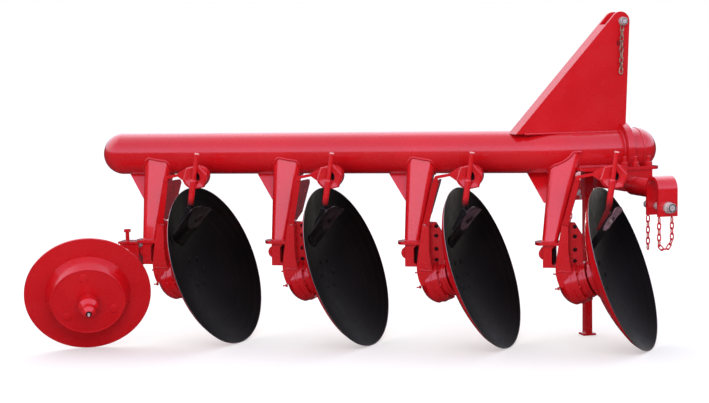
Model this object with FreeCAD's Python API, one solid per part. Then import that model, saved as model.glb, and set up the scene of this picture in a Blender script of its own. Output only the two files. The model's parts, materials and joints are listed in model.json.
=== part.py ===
import FreeCAD, Part
import os
from math import cos, radians, sin, sqrt

V = FreeCAD.Vector
UP = V(0, 0, 1)

# Four-furrow mounted disc plough. The beam frame has x along the beam towards the tractor, y to the left
# and z up, with x = 0 at the first (rear) disc and z = 0 at the floor. The plough frame has X in the
# direction of travel: it is the beam frame turned to the right by BEAM_ANGLE. Millimetres and degrees.

BEAM_ANGLE = 28
BEAM_RADIUS = 84.15
BEAM_WALL = 8
BEAM_HEIGHT = 760
BEAM_REAR = -413
BEND_START = 1220
BEND_RADIUS = 390
FRONT_RUN = 300
COLLAR_RADIUS = 112
COLLAR_START = 218
COLLAR_WIDTH = 28

DISC_COUNT = 4
DISC_SPACING = 543.6
DISC_RADIUS = 330
DISC_SPHERE = 600
DISC_THICK = 6
DISC_EDGE = 2
DISC_BEVEL = 16
DISC_SIDE = 100
DISC_TILT = 18.8
DISC_TOE = 13.2
HUB_RADIUS = 86
HUB_BOSS_RADIUS = 62
HUB_BACK = 118
HUB_BOSS_BACK = 130
SPINDLE_RADIUS = 25
SPINDLE_BACK = 205
RUNNING_GAP = 0.06

HOUSING_RADIUS = 82
HOUSING_NECK_RADIUS = 70
HOUSING_FRONT = 135
HOUSING_RIM = 168
HOUSING_SHOULDER = 222
HOUSING_BACK = 262

LEG_TOP_HALF = 61
LEG_TOP_CORNER = 27
LEG_FOOT_HALF = 31
LEG_FOOT_CORNER = 20
LEG_TURN = 3
LEG_WALL = 8
LEG_TOP_BACK = 246
LEG_TOP_SIDE = 19
LAST_LEG_TOP_BACK = 228
GUSSET_REACH = 157
LAST_GUSSET_REACH = 170
LEG_FOOT_BACK = 286
LEG_FOOT_SIDE = 62
FOOT_TOP = 412
FOOT_PLATE = 12

WHEEL_RADIUS = 247
WHEEL_PLATE = 7
WHEEL_X = -445
WHEEL_SIDE = 386
WHEEL_TILT = 22
WHEEL_TOE = 68.5
WHEEL_CONE_RADIUS = 167
WHEEL_FACE_RADIUS = 143
WHEEL_DISH = 58

SCRAPER_SHIFT = (0, 0, 3, 3)
SCRAPER_TWIST = (0, 0, 0.08, 0)
RING_FAR = 200
RING_NEAR = 244
STEM_RADIUS = 9
SLEEVE_RADIUS = 12
BLADE_THICK = 5

TOWER_GAP = 52
TOWER_PLATE = 12
TOWER_FOOT = 833
TOWER_FRONT = 1500
LUG_X = 1480
PIN_X = 1487
PIN_HEIGHT = 1268
SPARE_X = 1473
SPARE_HEIGHT = 1182
TOP_PIN_RADIUS = 12.5
LUG_RADIUS = 38
COVER_TOP = 1256
COVER_DEPTH = 14
TOWER_SLOPE_RUN = 378
TOWER_SLOPE_RISE = 412

CLEVIS_SPREAD = 400
CLEVIS_WIDTH = 100
CLEVIS_PLATE = 12
CLEVIS_LENGTH = 80
CLEVIS_FOOT = 530
CLEVIS_TOP = 679
LOWER_PIN_RADIUS = 14
LOWER_PIN_HEIGHT = 564
LOWER_PIN_X = 1466
SHAFT_RADIUS = 25
SHAFT_HEIGHT = 627
SHAFT_SLEEVE_RADIUS = 36
SHAFT_X = 1466

HITCH_REAR = 1262
HITCH_FRONT = 1586
HITCH_WIDTH = 344
HITCH_HEIGHT = 700
HITCH_PLATE = 12
BOX_REAR = 1436
BOX_FRONT = 1552
BOX_FOOT = 604
BOX_TOP = 676

STAND_X = 1400
STAND_SIDE = 104
STAND_TUBE = 30
STAND_WALL = 4
STAND_PLATE = 8
STAND_TOP = 750
SOCKET_TUBE = 38
SOCKET_GAP = 0.3
SOCKET_TOP = 710
SOCKET_FOOT = 573
STAND_TRAVEL = 300

LINK_LENGTH = 28
LINK_WIDTH = 16
LINK_WIRE = 3.2
LINK_PLAY = 0.6


def closed_face(path, plane):
    """Face inside a closed path of 2-D points; a (middle, end) pair in the path is an arc."""
    edges = []
    here = path[0]
    for step in path[1:] + path[:1]:
        if isinstance(step[0], tuple):
            edges.append(Part.Arc(plane(*here), plane(*step[0]), plane(*step[1])).toShape())
            here = step[1]
        elif step != here:
            edges.append(Part.makeLine(plane(*here), plane(*step)))
            here = step
    return Part.Face(Part.Wire(edges))


def side_plate(path, y_low, y_high):
    """Flat plate with its outline in x and z."""
    return closed_face(path, lambda x, z: V(x, y_low, z)).extrude(V(0, y_high - y_low, 0))


def flat_plate(path, z_low, z_high):
    """Flat plate with its outline in x and y."""
    return closed_face(path, lambda x, y: V(x, y, z_low)).extrude(V(0, 0, z_high - z_low))


def cross_plate(path, x_low, x_high):
    """Flat plate with its outline in y and z."""
    return closed_face(path, lambda y, z: V(x_low, y, z)).extrude(V(x_high - x_low, 0, 0))


def prism(points, way):
    """Solid swept from a flat polygon of 3-D points."""
    return Part.Face(Part.makePolygon(points + points[:1])).extrude(way)


def slanted_plate(path, y_of, thickness):
    """Flat plate with its outline in x and z, standing in the plane whose y is y_of(x, z)."""
    return prism([V(x, y_of(x, z), z) for x, z in path], V(0, thickness, 0))


def block(x_low, x_high, y_low, y_high, z_low, z_high):
    return Part.makeBox(x_high - x_low, y_high - y_low, z_high - z_low, V(x_low, y_low, z_low))


def rod(start, end, radius):
    return Part.makeCylinder(radius, (end - start).Length, start, end - start)


def turned(path, origin, axis):
    """Turned solid: the path holds (radius, distance along the axis) from the origin."""
    face = closed_face(path, lambda r, h: V(r, 0, h))
    solid = face.revolve(V(0, 0, 0), UP, 360)
    solid.Placement = FreeCAD.Placement(origin, FreeCAD.Rotation(UP, axis))
    return solid


def joined(shapes):
    return shapes[0].fuse(shapes[1:]).removeSplitter() if len(shapes) > 1 else shapes[0]


def largest(shape):
    return max(shape.Solids, key=lambda solid: solid.Volume)


def heading(toe, tilt):
    """Unit vector toe degrees to the right of the beam and tilt degrees upwards."""
    level = cos(radians(tilt))
    return V(level * cos(radians(toe)), -level * sin(radians(toe)), sin(radians(tilt)))


def disc_x(i):
    return i * DISC_SPACING


BEND = radians(BEAM_ANGLE)
BEND_CENTRE = V(BEND_START, BEND_RADIUS, BEAM_HEIGHT)
FRONT_START = V(BEND_START + BEND_RADIUS * sin(BEND), BEND_RADIUS * (1 - cos(BEND)), BEAM_HEIGHT)
FRONT_WAY = V(cos(BEND), sin(BEND), 0)
FRONT_END = FRONT_START + FRONT_WAY * FRONT_RUN
DISC_AXIS = heading(DISC_TOE, DISC_TILT)
DISC_HEIGHT = DISC_RADIUS * cos(radians(DISC_TILT)) + DISC_EDGE * sin(radians(DISC_TILT))
SPHERE_RISE = sqrt(DISC_SPHERE ** 2 - DISC_RADIUS ** 2)
# the headstock is built square to the direction of travel, with its tube along X at this Y
TRAVEL = FreeCAD.Rotation(UP, -BEAM_ANGLE)
HEAD_START = TRAVEL.multVec(FRONT_START)
HEAD_Y = HEAD_START.y
STAND_Y = HEAD_Y + STAND_SIDE


def beam_bar(radius):
    """Round bar of the given radius along the straight run, the bend and the front run."""
    start = V(BEAM_REAR, 0, BEAM_HEIGHT)
    bend_start = V(BEND_START, 0, BEAM_HEIGHT)
    section = Part.Face(Part.Wire(Part.Circle(bend_start, V(1, 0, 0), radius).toShape()))
    bend = section.revolve(BEND_CENTRE, UP, BEAM_ANGLE)
    return joined([rod(start, bend_start, radius), bend, rod(FRONT_START, FRONT_END, radius)])


def end_cap(centre, way):
    """Domed cap on the end of the tube, of the tube's wall thickness."""
    outer = BEAM_RADIUS
    inner = BEAM_RADIUS - BEAM_WALL
    slant = sqrt(0.5)
    path = [(inner, 0), (outer, 0), ((outer * slant, outer * slant), (0, outer)), (0, inner),
            ((inner * slant, inner * slant), (inner, 0))]
    return turned(path, centre, way)


def sphere_depth(radius, sphere):
    """Height of the dished disc's surface above the plane of its rim, at a radius from its axis."""
    return SPHERE_RISE - sqrt(sphere ** 2 - radius ** 2)


def disc(i):
    """Dished disc with its hollow side to the front and its edge bevelled from behind."""
    bevel = DISC_RADIUS - DISC_BEVEL
    outer = DISC_SPHERE + DISC_THICK
    front_middle = DISC_RADIUS / 2
    back_middle = bevel / 2
    path = [(0, sphere_depth(0, DISC_SPHERE)),
            ((front_middle, sphere_depth(front_middle, DISC_SPHERE)), (DISC_RADIUS, 0)),
            (DISC_RADIUS, -DISC_EDGE),
            (bevel, sphere_depth(bevel, outer)),
            ((back_middle, sphere_depth(back_middle, outer)), (0, sphere_depth(0, outer)))]
    return turned(path, disc_centre(i), DISC_AXIS)


def disc_centre(i):
    return V(disc_x(i), -DISC_SIDE, DISC_HEIGHT)


def disc_hub(i):
    """Flange bolted to the back of the disc, with the spindle that runs in the carrier."""
    outer = DISC_SPHERE + DISC_THICK
    middle = HUB_RADIUS / 2
    path = [(0, sphere_depth(0, outer)),
            ((middle, sphere_depth(middle, outer)), (HUB_RADIUS, sphere_depth(HUB_RADIUS, outer))),
            (HUB_RADIUS, -HUB_BACK), (HUB_BOSS_RADIUS, -HUB_BACK), (HUB_BOSS_RADIUS, -HUB_BOSS_BACK),
            (SPINDLE_RADIUS, -HUB_BOSS_BACK), (SPINDLE_RADIUS, -SPINDLE_BACK), (0, -SPINDLE_BACK)]
    return turned(path, disc_centre(i), DISC_AXIS)


def leg_top(i):
    if i < DISC_COUNT - 1:
        return V(disc_x(i) - LEG_TOP_BACK, -LEG_TOP_SIDE, BEAM_HEIGHT)
    x = disc_x(i) - LAST_LEG_TOP_BACK
    bend_y = BEND_RADIUS - sqrt(BEND_RADIUS ** 2 - (x - BEND_START) ** 2)
    return V(x, bend_y - LEG_TOP_SIDE, BEAM_HEIGHT)


def leg_foot(i):
    return V(disc_x(i) - LEG_FOOT_BACK, -LEG_FOOT_SIDE, FOOT_TOP)


def rounded_square(centre, half, corner):
    """Level wire of a square with rounded corners, turned a little towards the front of the beam."""
    flat = half - corner
    mid = flat + corner * sqrt(0.5)
    path = [(-flat, -half), (flat, -half), ((mid, -mid), (half, -flat)), (half, flat),
            ((mid, mid), (flat, half)), (-flat, half), ((-mid, mid), (-half, flat)), (-half, -flat),
            ((-mid, -mid), (-flat, -half))]
    turn = FreeCAD.Rotation(UP, LEG_TURN)
    return closed_face(path, lambda x, y: centre + turn.multVec(V(x, y, 0))).OuterWire


def leg_bar(top, foot, inset):
    """Bar that narrows from a rounded square at the beam to a small one at its foot."""
    wires = [rounded_square(foot, LEG_FOOT_HALF - inset, LEG_FOOT_CORNER - inset),
             rounded_square(top, LEG_TOP_HALF - inset, LEG_TOP_CORNER - inset)]
    return Part.makeLoft(wires, True, True)


def standard(i, beam):
    """Tapered tube from the beam down to its foot, with the gusset plate behind it."""
    top = leg_top(i)
    foot = leg_foot(i)
    outer = leg_bar(top, foot, 0)
    inner = leg_bar(top, foot, LEG_WALL)
    below = block(foot.x - 200, foot.x + 200, foot.y - 200, foot.y + 200, FOOT_TOP - 60, FOOT_TOP)
    reach = LAST_GUSSET_REACH if i == DISC_COUNT - 1 else GUSSET_REACH
    gusset = prism([V(top.x - reach, top.y + 20, BEAM_HEIGHT - 60),
                    V(top.x - 10, top.y + 20, BEAM_HEIGHT - 60),
                    V(foot.x + 8, foot.y + 12, FOOT_TOP + 150), V(foot.x - 24, foot.y + 12, FOOT_TOP + 150)],
                   V(0, 10, 0))
    return largest(outer.fuse(gusset).cut([inner, beam, below]))


def foot_bracket(i):
    """Foot plate under the leg, with the yoke block below it and the round head of the pivot bolt."""
    x = disc_x(i)
    y = -LEG_FOOT_SIDE
    under = FOOT_TOP - FOOT_PLATE
    plate = flat_plate([(x - 325, y + 48), ((x - 345, y), (x - 325, y - 48)), (x - 235, y - 48),
                        (x - 235, y + 48)], under, FOOT_TOP)
    yoke = side_plate([(x - 312, under), (x - 312, 312), (x - 262, 312), (x - 262, 318), (x - 277, 326),
                       (x - 277, 385), (x - 262, under)], y - 36, y + 30)
    back = block(x - 282, x - 262, y + 18, y + 30, 312, under)
    boss = rod(V(x - 304, y - 24, 366), V(x - 304, y + 42, 366), 25)
    return joined([plate, yoke, back, boss])


def disc_carrier(i):
    """Cast arm beside the foot, curving down into the domed bearing housing behind the disc."""
    x = disc_x(i)
    centre = disc_centre(i)
    arm = side_plate([(x - 237, 483), (x - 211, 477), (x - 211, 390), ((x - 202, 320), (x - 172, 240)),
                      (x - 244, 240), ((x - 256, 272), (x - 261, 305)), (x - 261, 320), (x - 255, 367)],
                     -128, -82)
    web = side_plate([(x - 235, 478), (x - 226, 490), (x - 189, 488), (x - 160, 440), (x - 156, 350),
                      (x - 160, 250), (x - 244, 250), (x - 261, 305), (x - 261, 330)], -82, -64)
    holes = [rod(V(x - 188, -130, z), V(x - 188, -40, z), 8) for z in (472, 434, 382, 338)]
    back = HOUSING_SHOULDER + (HOUSING_BACK - HOUSING_SHOULDER) * 0.62
    housing = turned([(0, -HOUSING_FRONT), (HOUSING_NECK_RADIUS, -HOUSING_FRONT),
                      (HOUSING_NECK_RADIUS, -HOUSING_RIM), (HOUSING_RADIUS, -HOUSING_RIM),
                      (HOUSING_RADIUS, -HOUSING_SHOULDER), ((62, -back), (28, -HOUSING_BACK)),
                      (0, -HOUSING_BACK)], centre, DISC_AXIS)
    bore = rod(centre - DISC_AXIS * (HOUSING_FRONT - 1), centre - DISC_AXIS * (SPINDLE_BACK + 6),
               SPINDLE_RADIUS + RUNNING_GAP)
    return web.cut(holes).fuse([arm, housing]).cut(bore).removeSplitter()


def blade_edges(x):
    """Upper edge of the blade, the fold below its lip, and the lower edge that follows the disc."""
    upper = Part.Arc(V(x - 40, -322, 545), V(x - 26, -252, 563), V(x - 6, -118, 540))
    fold = Part.Arc(V(x - 56, -318, 529), V(x - 46, -248, 545), V(x - 24, -121, 523))
    lower = Part.Arc(V(x - 98, -340, 464), V(x - 117, -261, 428), V(x - 112, -187, 398))
    return [edge.toShape() for edge in (upper, fold, lower)]


def scraper_blade(i):
    """Curved blade that lies along the hollow side of the disc, with its top lip bent forward."""
    upper, fold, lower = blade_edges(disc_x(i) + SCRAPER_SHIFT[i])
    lip = Part.makeRuledSurface(upper, fold).extrude(V(-BLADE_THICK, 0, 0))
    face = Part.makeRuledSurface(fold, lower).extrude(V(-BLADE_THICK, 0, 0))
    return lip.fuse(face)


def scraper_arm(i, carrier, blade):
    """Bar and plate on top of the carrier, the ring at the bar's end, and the stem that holds the blade."""
    x = disc_x(i) + SCRAPER_SHIFT[i]
    foot_x = disc_x(i) - 224
    bar = slanted_plate([(foot_x - 11, 485), (foot_x + 13, 480), (x - 166, 660), (x - 187, 662)],
                        lambda _, z: -132 - 0.34 * (z - 485), 10)
    lean = (x - 175 - foot_x) / 176
    twist = SCRAPER_TWIST[i]
    plate = prism([V(foot_x + lean * (z - 485) - twist * (y + 122), y, z)
                   for y, z in ((-122, 485), (-60, 494), (8, 520), (8, 640), (-20, 655), (-182, 660))],
                  V(9, 0, 0))
    run = slanted_plate([(x - 187, 660), (x - 178, 679), (x - 116, 691), (x - 116, 680), (x - 168, 669),
                         (x - 166, 660)], lambda px, _: -192 - 0.34 * (px - x + 187), 10)
    flare = slanted_plate([(x - 118, 680), (x - 118, 692), (x - 76, 717), (x - 76, 652)],
                          lambda px, _: -217 - 0.21 * (px - x + 118), 12)
    ring = side_plate([(x - 90, 678), ((x - 76, 710), (x - 42, 722)), ((x + 1, 712), (x + 13, 681)),
                       ((x - 2, 650), (x - 40, 634)), ((x - 76, 646), (x - 90, 678))], -RING_NEAR, -RING_FAR)
    ring = ring.cut(rod(V(x - 47, -RING_NEAR - 1, 678), V(x - 47, -RING_FAR - 8, 678), 29))
    top = V(x - 26, -249, 774)
    foot = V(x - 58, -256, 556)
    seam = foot + (top - foot) * 0.5
    stem = rod(top, seam, STEM_RADIUS)
    sleeve = rod(seam, foot, SLEEVE_RADIUS)
    bracket = side_plate([(x - 50, 547), (x - 91, 480), (x - 103, 480), (x - 68, 560), (x - 56, 560)],
                         -275, -237)
    bracket = min(bracket.cut(blade).Solids, key=lambda solid: solid.CenterOfMass.x)
    return joined([bar, plate, run, flare, ring, stem, sleeve, bracket]).cut([carrier, blade])


def link(centre, along, across):
    """Chain link of square wire, its long way along and its hole facing across."""
    wire = LINK_WIRE
    outer = block(-LINK_LENGTH / 2, LINK_LENGTH / 2, -LINK_WIDTH / 2, LINK_WIDTH / 2, -wire / 2, wire / 2)
    hole = block(wire - LINK_LENGTH / 2, LINK_LENGTH / 2 - wire, wire - LINK_WIDTH / 2, LINK_WIDTH / 2 - wire,
                 -wire, wire)
    ring = outer.cut(hole)
    ring.Placement = FreeCAD.Placement(centre, FreeCAD.Rotation(along, V(0, 0, 0), across, "ZXY"))
    return ring


def chain(route, across, turned_first=False):
    """Chain along straight runs, every second link turned by a right angle."""
    pitch = LINK_LENGTH - 2 * LINK_WIRE - LINK_PLAY
    links = []
    for start, end in zip(route, route[1:]):
        way = end - start
        count = max(1, round(way.Length / pitch))
        for k in range(count):
            facing = across if (len(links) + turned_first) % 2 == 0 else way.cross(across)
            links.append(link(start + way * (k + 0.5) / count, way, facing))
    return links


def wheel_axis():
    return heading(WHEEL_TOE, -WHEEL_TILT)


def wheel_centre():
    return V(WHEEL_X, -WHEEL_SIDE, WHEEL_RADIUS * cos(radians(WHEEL_TILT)))


def furrow_wheel():
    """Thin steel wheel, dished outwards in the middle."""
    t = WHEEL_PLATE
    path = [(40, WHEEL_DISH), (WHEEL_FACE_RADIUS, WHEEL_DISH), (WHEEL_CONE_RADIUS, 0), (WHEEL_RADIUS, 0),
            (WHEEL_RADIUS, -t), (WHEEL_CONE_RADIUS - 5, -t), (WHEEL_FACE_RADIUS - 5, WHEEL_DISH - t),
            (40, WHEEL_DISH - t)]
    return turned(path, wheel_centre(), wheel_axis())


def wheel_hub():
    """Hub through the middle of the wheel, with its stepped nose outside."""
    path = [(17.05, -60), (46, -60), (46, WHEEL_DISH - WHEEL_PLATE), (40, WHEEL_DISH - WHEEL_PLATE),
            (40, WHEEL_DISH + 46), (27, WHEEL_DISH + 60), (27, WHEEL_DISH + 84), (14, WHEEL_DISH + 96),
            (0, WHEEL_DISH + 96), (0, WHEEL_DISH + 40), (17.05, WHEEL_DISH + 40)]
    return turned(path, wheel_centre(), wheel_axis())


def wheel_arm():
    """Upright round post in the clamp block, ending in the stub axle of the wheel."""
    centre = wheel_centre()
    axis = wheel_axis()
    axle = rod(centre - axis * 150, centre + axis * (WHEEL_DISH + 35), 17)
    collar = rod(centre - axis * 110, centre - axis * 66, 28)
    post_top = V(-368, -60, 400)
    elbow = V(-368, -60, 280)
    end = centre - axis * 150
    return joined([axle, collar, rod(post_top, elbow, 20), Part.makeSphere(20, elbow), rod(elbow, end, 20),
                   Part.makeSphere(20, end)])


def wheel_clamp():
    """Clamp block on the rear of the first foot, with its square-headed screw."""
    body = block(-410, -330, -95, -25, 303, 395)
    lid = block(-417, -333, -100, -20, 395, 404)
    screw = rod(V(-389, -60, 404), V(-389, -60, 440), 8)
    head = block(-400, -378, -71, -49, 440, 452)
    bore = rod(V(-368, -60, 290), V(-368, -60, 401), 20.05)
    solid = joined([body, lid, screw, head]).cut(bore)
    return solid.cut(block(-330, -300, -120, 0, 280, 420))


def head(shape):
    """Turns a piece built square to the direction of travel back into the beam frame."""
    shape.rotate(V(0, 0, 0), UP, BEAM_ANGLE)
    return shape


def tube_bar(radius, x_low, x_high):
    return rod(V(x_low, HEAD_Y, BEAM_HEIGHT), V(x_high, HEAD_Y, BEAM_HEIGHT), radius)


def tower_edge(z):
    """Point at height z on the tower's sloping rear edge, which runs on into the lug's rounding."""
    slope = V(TOWER_SLOPE_RUN, 0, TOWER_SLOPE_RISE).normalize()
    x = LUG_X - slope.z * LUG_RADIUS
    return (x - (PIN_HEIGHT + slope.x * LUG_RADIUS - z) * slope.x / slope.z, z)


def tower_plate(side):
    """Upright triangular plate with a rounded lug at its top."""
    inner = HEAD_Y + side * TOWER_GAP / 2
    outer = inner + side * TOWER_PLATE
    slope = V(TOWER_SLOPE_RUN, 0, TOWER_SLOPE_RISE).normalize()
    path = [tower_edge(TOWER_FOOT), (TOWER_FRONT, TOWER_FOOT), (LUG_X + LUG_RADIUS, PIN_HEIGHT),
            ((LUG_X + LUG_RADIUS * sin(radians(10)), PIN_HEIGHT + LUG_RADIUS * cos(radians(10))),
             tower_edge(PIN_HEIGHT + slope.x * LUG_RADIUS))]
    plate = side_plate(path, min(inner, outer), max(inner, outer))
    for x, z in ((PIN_X, PIN_HEIGHT), (SPARE_X, SPARE_HEIGHT)):
        plate = plate.cut(rod(V(x, HEAD_Y - 60, z), V(x, HEAD_Y + 60, z), TOP_PIN_RADIUS + RUNNING_GAP))
    return head(plate)


def tower_cover():
    """Sloping plate that closes the gap between the two tower plates behind, flush with their edges."""
    half = TOWER_GAP / 2
    foot_x, foot_z = tower_edge(TOWER_FOOT)
    top_x, top_z = tower_edge(COVER_TOP)
    path = [(foot_x, foot_z), (foot_x + COVER_DEPTH, foot_z), (top_x + COVER_DEPTH, top_z), (top_x, top_z)]
    return head(side_plate(path, HEAD_Y - half, HEAD_Y + half))


def top_pin():
    half = TOWER_GAP / 2 + TOWER_PLATE
    pin = rod(V(PIN_X, HEAD_Y - half - 20, PIN_HEIGHT), V(PIN_X, HEAD_Y + half + 16, PIN_HEIGHT),
              TOP_PIN_RADIUS)
    washer = rod(V(PIN_X, HEAD_Y - half - 6, PIN_HEIGHT), V(PIN_X, HEAD_Y - half, PIN_HEIGHT), 17)
    return head(joined([pin, washer]))


def top_pin_chain():
    """Chain of the top link pin, hanging from its head beside the tower."""
    y = HEAD_Y - TOWER_GAP / 2 - TOWER_PLATE - 11
    start_z = PIN_HEIGHT - TOP_PIN_RADIUS - 4
    links = chain([V(PIN_X - 7, y, start_z), V(PIN_X - 12, y, start_z - 189)], V(0, 1, 0))
    return head(Part.makeCompound(links))


def clevis_chains(side):
    """Chain looped from the clevis's outer wall to the pin's head, and one hanging from its inner wall."""
    centre = HEAD_Y + side * CLEVIS_SPREAD
    across = V(0, 1, 0)
    y = centre + side * (CLEVIS_WIDTH / 2 - CLEVIS_PLATE / 2)
    top = CLEVIS_FOOT - 4
    rear = SHAFT_X - CLEVIS_LENGTH / 2 + 6
    low = top - 105
    loop = chain([V(rear, y, top), V(rear, y, low), V(rear + 14, y, low - 14), V(rear + 34, y, low - 12),
                  V(rear + 46, y, low + 4), V(rear + 53, y, low + 23), V(rear + 53, y, top)], across, True)
    y = centre - side * (CLEVIS_WIDTH / 2 - CLEVIS_PLATE / 2)
    free = chain([V(rear, y, top), V(rear, y, top - 126)], across)
    return head(Part.makeCompound(loop + free))


def collar():
    """Flat ring round the headstock tube, standing on the hitch plate."""
    start = HEAD_START.x + COLLAR_START
    ring = tube_bar(COLLAR_RADIUS, start, start + COLLAR_WIDTH)
    return head(ring.cut(tube_bar(BEAM_RADIUS, start - 10, start + 60)))


def hitch_plate():
    """Flat plate welded along the underside of the headstock tube, with a square hole for the stand."""
    half = HITCH_WIDTH / 2
    corner = 24
    rear = HITCH_REAR
    front = HITCH_FRONT
    plate = flat_plate([(rear, HEAD_Y - half), (front - corner, HEAD_Y - half),
                        (front, HEAD_Y - half + corner), (front, HEAD_Y + half - corner),
                        (front - corner, HEAD_Y + half), (rear, HEAD_Y + half)],
                       HITCH_HEIGHT - HITCH_PLATE, HITCH_HEIGHT)
    socket = SOCKET_TUBE / 2
    hole = block(STAND_X - socket, STAND_X + socket, STAND_Y - socket, STAND_Y + socket,
                 SOCKET_FOOT, SOCKET_TOP)
    return head(plate.cut(hole))


def hitch_box():
    """Box under the hitch plate that holds the cross shaft."""
    half = HITCH_WIDTH / 2 - 7
    body = block(BOX_REAR, BOX_FRONT, HEAD_Y - half, HEAD_Y + half, BOX_FOOT, BOX_TOP)
    cheeks = [block(BOX_REAR, BOX_FRONT, y, y + 40, BOX_FOOT, HITCH_HEIGHT - HITCH_PLATE)
              for y in (HEAD_Y - half, HEAD_Y + half - 40)]
    shaft = rod(V(SHAFT_X, HEAD_Y - 400, SHAFT_HEIGHT), V(SHAFT_X, HEAD_Y + 400, SHAFT_HEIGHT), SHAFT_RADIUS)
    return head(joined([body] + cheeks).cut(shaft))


def cross_shaft():
    """Shaft through the hitch box, with a thick sleeve between the box and each clevis."""
    reach = CLEVIS_SPREAD - CLEVIS_WIDTH / 2
    shaft = rod(V(SHAFT_X, HEAD_Y - reach, SHAFT_HEIGHT), V(SHAFT_X, HEAD_Y + reach, SHAFT_HEIGHT),
                SHAFT_RADIUS)
    sleeves = [rod(V(SHAFT_X, HEAD_Y + side * HITCH_WIDTH / 2, SHAFT_HEIGHT),
                   V(SHAFT_X, HEAD_Y + side * reach, SHAFT_HEIGHT), SHAFT_SLEEVE_RADIUS) for side in (-1, 1)]
    return head(joined([shaft] + sleeves))


def lower_clevis(side):
    """Arched fork, open downwards, that takes the tractor's lower link between its two walls."""
    y = HEAD_Y + side * CLEVIS_SPREAD
    outer = CLEVIS_WIDTH / 2
    inner = outer - CLEVIS_PLATE
    spring = CLEVIS_TOP - outer
    path = [(y - outer, CLEVIS_FOOT), (y - outer, spring), ((y, CLEVIS_TOP), (y + outer, spring)),
            (y + outer, CLEVIS_FOOT), (y + inner, CLEVIS_FOOT), (y + inner, spring),
            ((y, spring + inner), (y - inner, spring)), (y - inner, CLEVIS_FOOT)]
    arch = cross_plate(path, SHAFT_X - CLEVIS_LENGTH / 2, SHAFT_X + CLEVIS_LENGTH / 2)
    bore = rod(V(LOWER_PIN_X, y - 60, LOWER_PIN_HEIGHT), V(LOWER_PIN_X, y + 60, LOWER_PIN_HEIGHT),
               LOWER_PIN_RADIUS + RUNNING_GAP)
    return head(arch.cut(bore))


def lower_pins():
    """The two lower link pins, each with a collar and a long head on the outer side."""
    pins = []
    half = CLEVIS_WIDTH / 2
    for side in (-1, 1):
        y = HEAD_Y + side * CLEVIS_SPREAD
        inner_end = y - side * (half + 70)
        outer_wall = y + side * half
        pin = rod(V(LOWER_PIN_X, inner_end, LOWER_PIN_HEIGHT), V(LOWER_PIN_X, outer_wall, LOWER_PIN_HEIGHT),
                  LOWER_PIN_RADIUS)
        washer = rod(V(LOWER_PIN_X, outer_wall, LOWER_PIN_HEIGHT),
                     V(LOWER_PIN_X, outer_wall + side * 12, LOWER_PIN_HEIGHT), 21)
        knob = rod(V(LOWER_PIN_X, outer_wall, LOWER_PIN_HEIGHT),
                   V(LOWER_PIN_X, outer_wall + side * 34, LOWER_PIN_HEIGHT), 17)
        pins.append(head(joined([pin, washer, knob])))
    return Part.makeCompound(pins)


def square_tube(x, y, outer, inner, z_low, z_high):
    tube = block(x - outer / 2, x + outer / 2, y - outer / 2, y + outer / 2, z_low, z_high)
    return tube.cut(block(x - inner / 2, x + inner / 2, y - inner / 2, y + inner / 2, z_low - 1, z_high + 1))


def stand_socket():
    """Square tube through the hitch plate, beside the headstock tube, in which the stand slides."""
    bore = STAND_TUBE + 2 * SOCKET_GAP
    return head(square_tube(STAND_X, STAND_Y, SOCKET_TUBE, bore, SOCKET_FOOT, SOCKET_TOP))


def stand_leg():
    bore = STAND_TUBE - 2 * STAND_WALL
    post = square_tube(STAND_X, STAND_Y, STAND_TUBE, bore, STAND_PLATE, STAND_TOP)
    foot = block(STAND_X - 27, STAND_X + 27, STAND_Y - 25, STAND_Y + 25, 0, STAND_PLATE)
    return head(joined([post, foot]))


def headstock_nodes(beam):
    """Tower, hitch and stand, each piece cut to lie against the ones it is welded to."""
    rear_cap = end_cap(V(BEAM_REAR, 0, BEAM_HEIGHT), V(-1, 0, 0))
    front_cap = end_cap(FRONT_END, FRONT_WAY)
    cap_ball = Part.makeSphere(BEAM_RADIUS, FRONT_END)
    plate = hitch_plate().cut([beam, cap_ball])
    shaft = cross_shaft()
    box = hitch_box().cut(beam)
    ring = largest(collar().cut([plate, block_under_plate()]))
    return {
        "main_beam": beam.cut(beam_bar(BEAM_RADIUS - BEAM_WALL)),
        "beam_rear_cap": rear_cap,
        "beam_front_cap": front_cap,
        "beam_collar": ring,
        "tower_plate_right": largest(tower_plate(-1).cut([beam, ring])),
        "tower_plate_left": largest(tower_plate(1).cut([beam, ring])),
        "tower_cover": largest(tower_cover().cut([beam, ring])),
        "top_link_pin": top_pin(),
        "top_pin_chain": top_pin_chain(),
        "hitch_plate_right": min(plate.Solids, key=lambda solid: solid.CenterOfMass.y),
        "hitch_plate_left": max(plate.Solids, key=lambda solid: solid.CenterOfMass.y),
        "hitch_box": box,
        "cross_shaft": shaft,
        "lower_clevis_right": lower_clevis(-1),
        "lower_clevis_left": lower_clevis(1),
        "lower_link_pins": lower_pins(),
        "clevis_chain_right": clevis_chains(-1),
        "clevis_chain_left": clevis_chains(1),
        "stand_socket": stand_socket(),
        "stand_leg": stand_leg(),
    }


def block_under_plate():
    """Everything under the top of the hitch plate, to trim the collar."""
    return head(block(HITCH_REAR, HITCH_FRONT, HEAD_Y - 200, HEAD_Y + 200, BOX_FOOT - 20, HITCH_HEIGHT))


def unit_nodes(i, beam):
    """One furrow's standard, carrier, disc and scraper."""
    carrier = disc_carrier(i)
    blade = scraper_blade(i)
    n = i + 1
    return {
        f"standard_{n}": standard(i, beam),
        f"foot_bracket_{n}": largest(foot_bracket(i).cut(carrier)),
        f"disc_carrier_{n}": carrier,
        f"disc_hub_{n}": disc_hub(i),
        f"disc_{n}": disc(i),
        f"scraper_arm_{n}": scraper_arm(i, carrier, blade),
        f"scraper_blade_{n}": blade,
    }


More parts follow.
